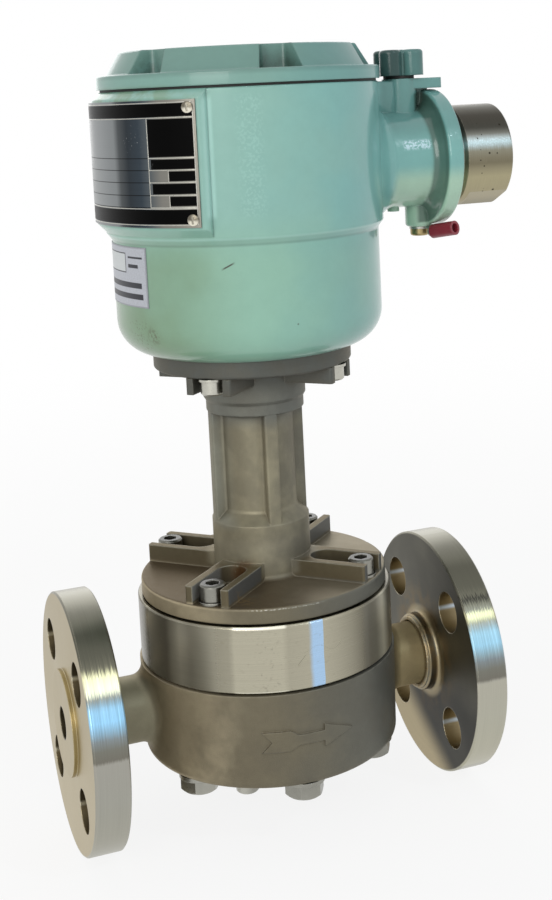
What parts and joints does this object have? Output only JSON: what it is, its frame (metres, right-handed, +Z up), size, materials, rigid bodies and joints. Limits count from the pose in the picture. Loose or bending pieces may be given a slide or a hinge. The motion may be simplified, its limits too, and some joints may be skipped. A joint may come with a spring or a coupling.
{
  "type": "flow meter",
  "caption": "Flanged positive displacement flow meter: cast body with toothed elliptical rotors, ribbed neck and a round signal head with screwed cover and side conduit entry.",
  "frame": {"origin": "centre of the inlet flange's raised face", "axes": "+X along the flow from inlet to outlet, +Z up along the meter's centre line towards the signal head"},
  "size_m": [0.1853, 0.1052, 0.2929],
  "materials": {
    "cast_steel": "bead-blasted cast stainless steel",
    "machined_steel": "turned stainless steel",
    "rotor_steel": "milled stainless steel",
    "bright_steel": "bright stainless steel",
    "carbon": "carbon bush",
    "magnet": "moulded magnet",
    "gasket": "flat gasket sheet",
    "black_rubber": "black seal",
    "bearing_bronze": "sintered bronze",
    "disc_aluminium": "clear anodised",
    "green_enamel": "pale green gloss enamel on cast aluminium",
    "plated_steel": "nickel plated, lightly pitted",
    "screw_brass": "dull nickel-plated brass",
    "tinned_terminal": "tinned copper",
    "red_vinyl": "red vinyl sleeve",
    "plate_steel": "etched plate with black bars and bare fields",
    "label_paper": "bare foil-faced label",
    "black_plastic": "black moulding",
    "board_green": "circuit board laminate"
  },
  "bodies": {
    "housing": {"meter_body": "cast_steel", "extension_casting": "cast_steel", "inlet_flange": "machined_steel", "outlet_flange": "machined_steel", "chamber_cover": "machined_steel", "rotor_pins": "bright_steel", "output_pin": "bright_steel", "body_gasket": "gasket", "extension_gasket": "gasket", "adapter_seal": "gasket", "body_bolts": "bright_steel", "body_washers": "bright_steel", "drain_plug": "bright_steel", "base_screws": "bright_steel", "base_washers": "bright_steel", "head_screws": "bright_steel", "head_washers": "bright_steel", "lower_bearing": "bearing_bronze", "upper_bearing": "bearing_bronze", "head_housing": "green_enamel", "conduit_adapter": "plated_steel", "earth_screw": "screw_brass", "ring_terminal": "tinned_terminal", "terminal_sleeve": "red_vinyl", "nameplate": "plate_steel", "nameplate_screws": "bright_steel", "info_label": "label_paper", "sensor_bracket": "disc_aluminium", "sensor_head": "black_plastic", "board_posts": "screw_brass", "circuit_board": "board_green", "board_screws": "bright_steel", "terminal_block": "black_plastic", "terminal_screws": "screw_brass"},
    "rotor_a": {"rotor_a": "rotor_steel", "rotor_bush_a": "carbon", "drive_gear": "rotor_steel"},
    "rotor_b": {"rotor_b": "rotor_steel", "rotor_bush_b": "carbon"},
    "output_spindle": {"output_gear": "rotor_steel", "drive_magnet": "magnet"},
    "head_shaft": {"drive_shaft": "bright_steel", "follower_magnet": "magnet", "pulse_disc": "disc_aluminium"},
    "cover_ring": {"cover_seal": "black_rubber"},
    "cover": {"top_cover": "green_enamel"},
    "plug_ring": {"plug_seal": "black_rubber"},
    "plug": {"plug_cap": "green_enamel"}
  },
  "joints": [
    {"name": "rotor_a_spin", "type": "hinge", "parent": "housing", "child": "rotor_a", "pos_m": [0.081, -0.0135, 0], "axis": [0, 0, 1], "continuous": true},
    {"name": "rotor_b_spin", "type": "hinge", "parent": "housing", "child": "rotor_b", "pos_m": [0.081, 0.0135, 0], "axis": [0, 0, 1], "continuous": true},
    {"name": "output_spin", "type": "hinge", "parent": "housing", "child": "output_spindle", "pos_m": [0.081, 0, 0.02], "axis": [0, 0, 1], "continuous": true},
    {"name": "shaft_spin", "type": "hinge", "parent": "housing", "child": "head_shaft", "pos_m": [0.081, 0, 0.09], "axis": [0, 0, 1], "continuous": true},
    {"name": "cover_lift", "type": "slide", "parent": "housing", "child": "cover_ring", "axis": [0, 0, 1], "range_m": [0, 0.0101]},
    {"name": "cover_turn", "type": "hinge", "parent": "cover_ring", "child": "cover", "pos_m": [0.081, 0, 0.236], "axis": [0, 0, 1], "range_deg": [0, 1800]},
    {"name": "plug_lift", "type": "slide", "parent": "housing", "child": "plug_ring", "axis": [0, 0, 1], "range_m": [0, 0.0088]},
    {"name": "plug_turn", "type": "hinge", "parent": "plug_ring", "child": "plug", "pos_m": [0.1465, 0, 0.236], "axis": [0, 0, 1], "range_deg": [0, 2520]}
  ],
  "couplings": [
    {"joint": "rotor_b_spin", "follows": "rotor_a_spin", "ratio": -1},
    {"joint": "output_spin", "follows": "rotor_a_spin", "ratio": -1},
    {"joint": "shaft_spin", "follows": "rotor_a_spin", "ratio": -1},
    {"joint": "cover_lift", "follows": "cover_turn", "m_per_rad": 0.00031831},
    {"joint": "plug_lift", "follows": "plug_turn", "m_per_rad": 0.00019894}
  ]
}
